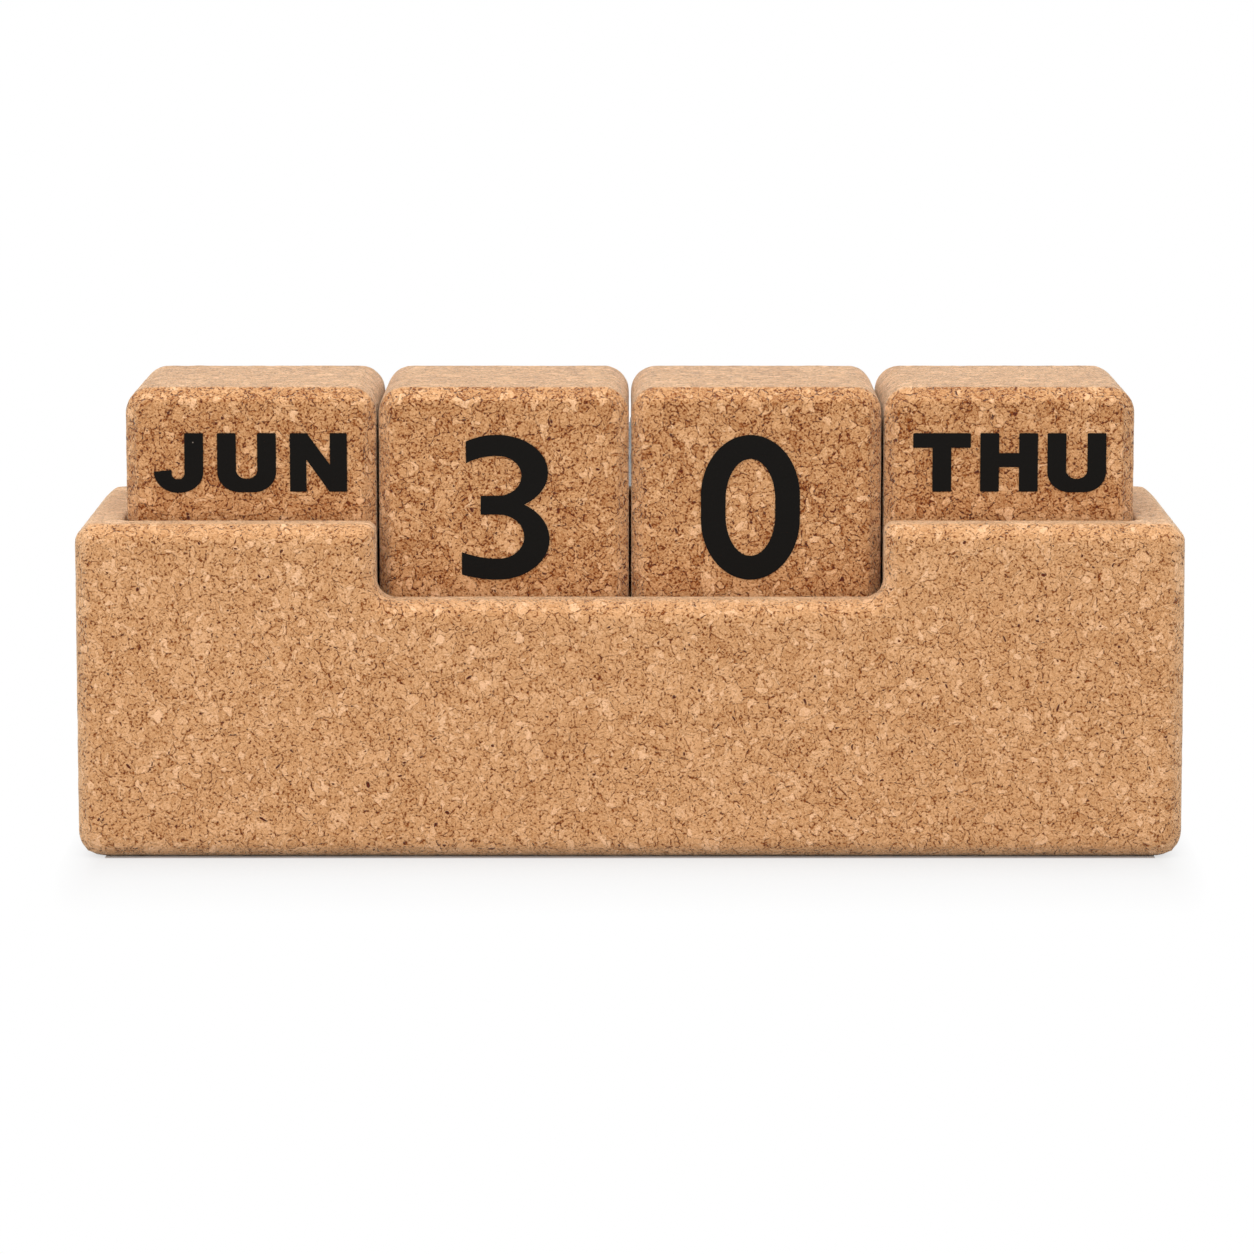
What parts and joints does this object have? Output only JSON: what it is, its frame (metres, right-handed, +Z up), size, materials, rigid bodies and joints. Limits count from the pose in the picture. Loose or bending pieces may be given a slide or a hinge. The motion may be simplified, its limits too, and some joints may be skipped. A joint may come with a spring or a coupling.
{
  "type": "desk calendar with drawer",
  "caption": "Perpetual desk calendar in cork: printed cubes for month, date and weekday stand in a notched holder, with a shallow drawer below them.",
  "frame": {"origin": "centre of the underside", "axes": "+Z up, +X along the row of cubes towards the drawer's front, -Y towards the reader, which is the notched face"},
  "size_m": [0.22, 0.07, 0.0931],
  "materials": {
    "holder_cork": "bare agglomerated cork, matte",
    "block_cork": "bare agglomerated cork, matte",
    "ink": "black printing ink, satin",
    "hardwood": "planed beech, bare"
  },
  "bodies": {
    "holder": {"holder_body": "holder_cork", "base_panel": "holder_cork", "runner_front": "hardwood", "runner_back": "hardwood", "drawer_stop": "hardwood"},
    "drawer": {"drawer_front": "holder_cork", "drawer_side_front": "holder_cork", "drawer_side_back": "holder_cork", "drawer_rear": "holder_cork", "drawer_floor": "holder_cork"},
    "month_cube": {"month_block": "block_cork", "month_legends": "ink"},
    "tens_cube": {"tens_block": "block_cork", "tens_legends": "ink"},
    "units_cube": {"units_block": "block_cork", "units_legends": "ink"},
    "weekday_cube": {"weekday_block": "block_cork", "weekday_legends": "ink"}
  },
  "joints": [
    {"name": "drawer_slide", "type": "slide", "parent": "holder", "child": "drawer", "axis": [1, 0, 0], "range_m": [0, 0.15]},
    {"name": "month_lift", "type": "slide", "parent": "holder", "child": "month_cube", "axis": [0, 0, 1], "range_m": [0, 0.06]},
    {"name": "tens_lift", "type": "slide", "parent": "holder", "child": "tens_cube", "axis": [0, 0, 1], "range_m": [0, 0.06]},
    {"name": "units_lift", "type": "slide", "parent": "holder", "child": "units_cube", "axis": [0, 0, 1], "range_m": [0, 0.06]},
    {"name": "weekday_lift", "type": "slide", "parent": "holder", "child": "weekday_cube", "axis": [0, 0, 1], "range_m": [0, 0.06]}
  ]
}
